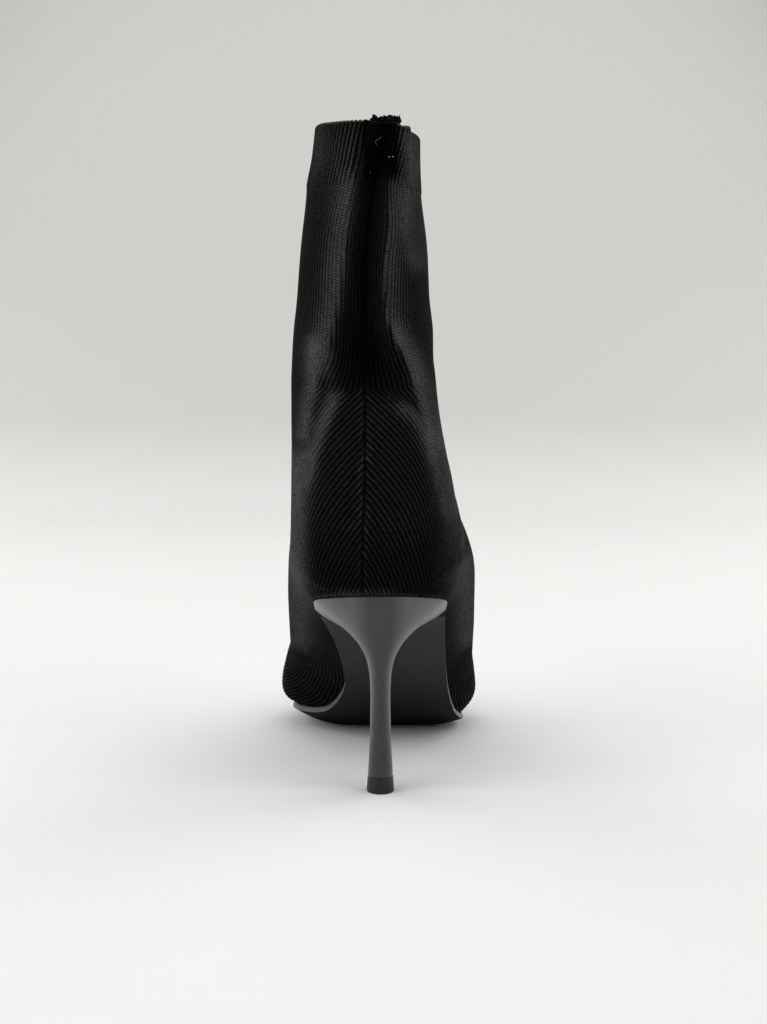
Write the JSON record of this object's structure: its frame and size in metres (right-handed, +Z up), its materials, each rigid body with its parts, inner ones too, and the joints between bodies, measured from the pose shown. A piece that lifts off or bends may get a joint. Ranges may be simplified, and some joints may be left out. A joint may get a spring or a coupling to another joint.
{
  "type": "ankle boot",
  "caption": "Pull-on ribbed-knit ankle boot for the right foot: slack sock shaft with a ribbed cuff, pointed toe, thin sole and a flared stiletto heel.",
  "frame": {"origin": "on the floor under the middle of the boot's box", "axes": "+X to the outer side of the foot, +Y to the toe, +Z up"},
  "size_m": [0.0964, 0.2454, 0.2828],
  "materials": {
    "rib_knit": "black one-by-one rib knit",
    "sock_lining": "plain dark sock lining",
    "sole_rubber": "matte dark grey",
    "heel_lacquer": "dark grey satin lacquer",
    "tip_rubber": "matte black",
    "tape": "black woven tape, frayed end"
  },
  "bodies": {
    "root": {"upper": "rib_knit", "insole": "sock_lining", "outsole": "sole_rubber", "heel": "heel_lacquer", "top_piece": "tip_rubber", "seam_tape": "tape"}
  },
  "joints": []
}
